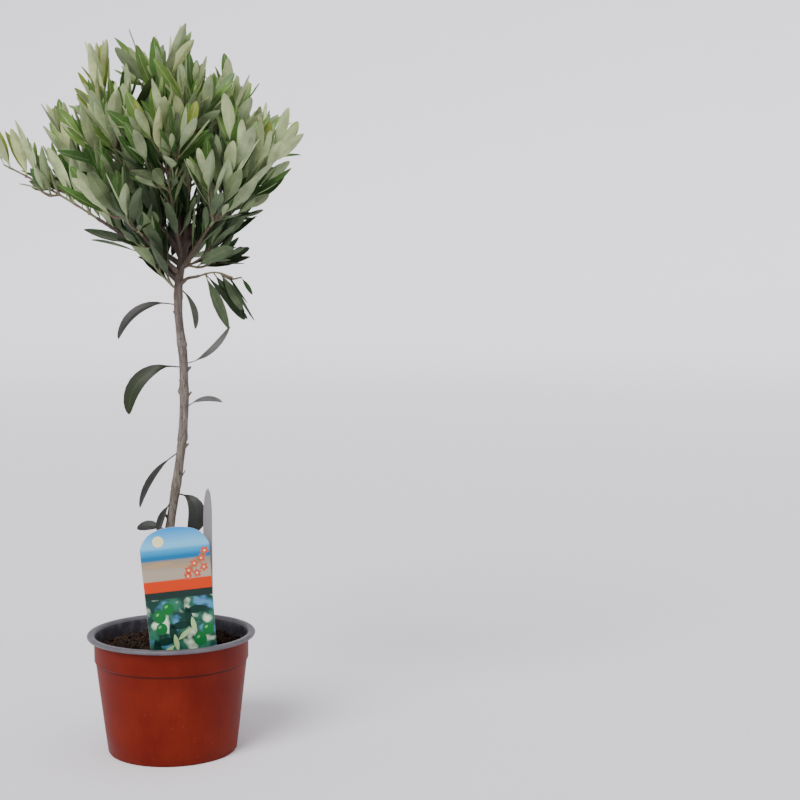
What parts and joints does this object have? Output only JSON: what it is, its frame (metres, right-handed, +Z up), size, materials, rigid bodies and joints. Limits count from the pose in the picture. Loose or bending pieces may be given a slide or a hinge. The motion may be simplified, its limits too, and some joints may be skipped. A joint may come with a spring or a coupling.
{
  "type": "potted olive tree",
  "caption": "Young olive tree on a slim clear stem with a spreading crown of narrow leaves, in a round nursery pot with soil, a plant label and a marker stick.",
  "frame": {"origin": "middle of the flat underside of the pot", "axes": "+Z up, +X to the right of the pot seen from its labelled front, -Y towards the front"},
  "size_m": [0.2309, 0.1834, 0.5597],
  "materials": {
    "pot": "moulded terracotta-coloured plastic, grey inside and on the rim",
    "soil": "dark brown peat with fibres",
    "label": null,
    "stick": "plain grey white plastic strip",
    "bark": "grey brown young bark with knots",
    "leaf": "leathery leaf, dark green above and grey green below",
    "foliage": "twigs with leathery narrow leaves, green above and pale grey green below"
  },
  "bodies": {
    "root": {"pot": "pot", "soil": "soil", "plant_label": "label", "marker_stick": "stick", "trunk": "bark", "bough_low_left": "bark", "bough_low_front": "bark", "bough_low_right": "bark", "bough_low_back": "bark", "bough_left": "bark", "bough_front_left": "bark", "bough_front_right": "bark", "bough_back_right": "bark", "bough_top_left": "bark", "bough_back": "bark", "bough_front": "bark", "bough_right": "bark", "bough_top_right": "bark", "bough_top_front": "bark", "bough_leader": "bark", "trunk_leaf_upper_left": "leaf", "trunk_leaf_upper_right": "leaf", "trunk_leaf_middle_left": "leaf", "trunk_leaf_middle_right": "leaf", "trunk_leaf_upper_back": "leaf", "trunk_leaf_low_left": "leaf", "trunk_leaf_foot_right": "leaf", "trunk_leaf_foot_left": "leaf", "trunk_leaf_foot_small": "leaf", "mass_low_left": "foliage", "mass_low_front": "foliage", "mass_low_right": "foliage", "mass_low_back": "foliage", "mass_left": "foliage", "mass_front_left": "foliage", "mass_front_right": "foliage", "mass_back_right": "foliage", "mass_top_left": "foliage", "mass_back": "foliage", "mass_front": "foliage", "mass_right": "foliage", "mass_top_right": "foliage", "mass_top_front": "foliage", "mass_leader": "foliage", "mass_inner_left": "foliage", "mass_inner_right": "foliage", "mass_inner_back": "foliage"}
  },
  "joints": []
}
